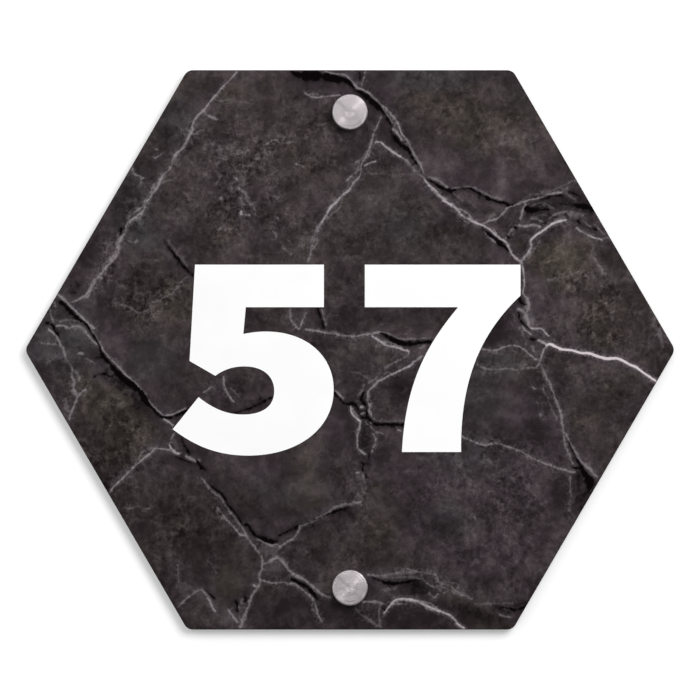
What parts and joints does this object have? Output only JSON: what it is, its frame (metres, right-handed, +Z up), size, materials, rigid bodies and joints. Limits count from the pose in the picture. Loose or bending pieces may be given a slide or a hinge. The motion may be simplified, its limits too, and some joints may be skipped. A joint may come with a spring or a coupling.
{
  "type": "door name plate",
  "caption": "Flat hexagonal door plate with plain white numerals on a dark stone-patterned face, fixed by capped wood screws.",
  "frame": {"origin": "centre of the plate's flat back, in the plane where it meets the door", "axes": "+X to the right of someone facing the plate, +Z up, +Y into the door, so the face looks along -Y"},
  "size_m": [0.199, 0.0264, 0.172],
  "materials": {
    "printed_plate": "acrylic sheet printed with a dark cracked stone pattern",
    "numeral_film": "white cut film",
    "cap_steel": "stainless steel with a spun brushed face",
    "seat_brass": "nickel-plated brass",
    "bush_nylon": "natural nylon",
    "screw_steel": "zinc-plated steel"
  },
  "bodies": {
    "root": {"plate": "printed_plate", "numeral_five": "numeral_film", "numeral_seven": "numeral_film", "top_bush": "bush_nylon", "top_cap_seat": "seat_brass", "top_screw": "screw_steel", "top_cap": "cap_steel", "bottom_bush": "bush_nylon", "bottom_cap_seat": "seat_brass", "bottom_screw": "screw_steel", "bottom_cap": "cap_steel"}
  },
  "joints": []
}
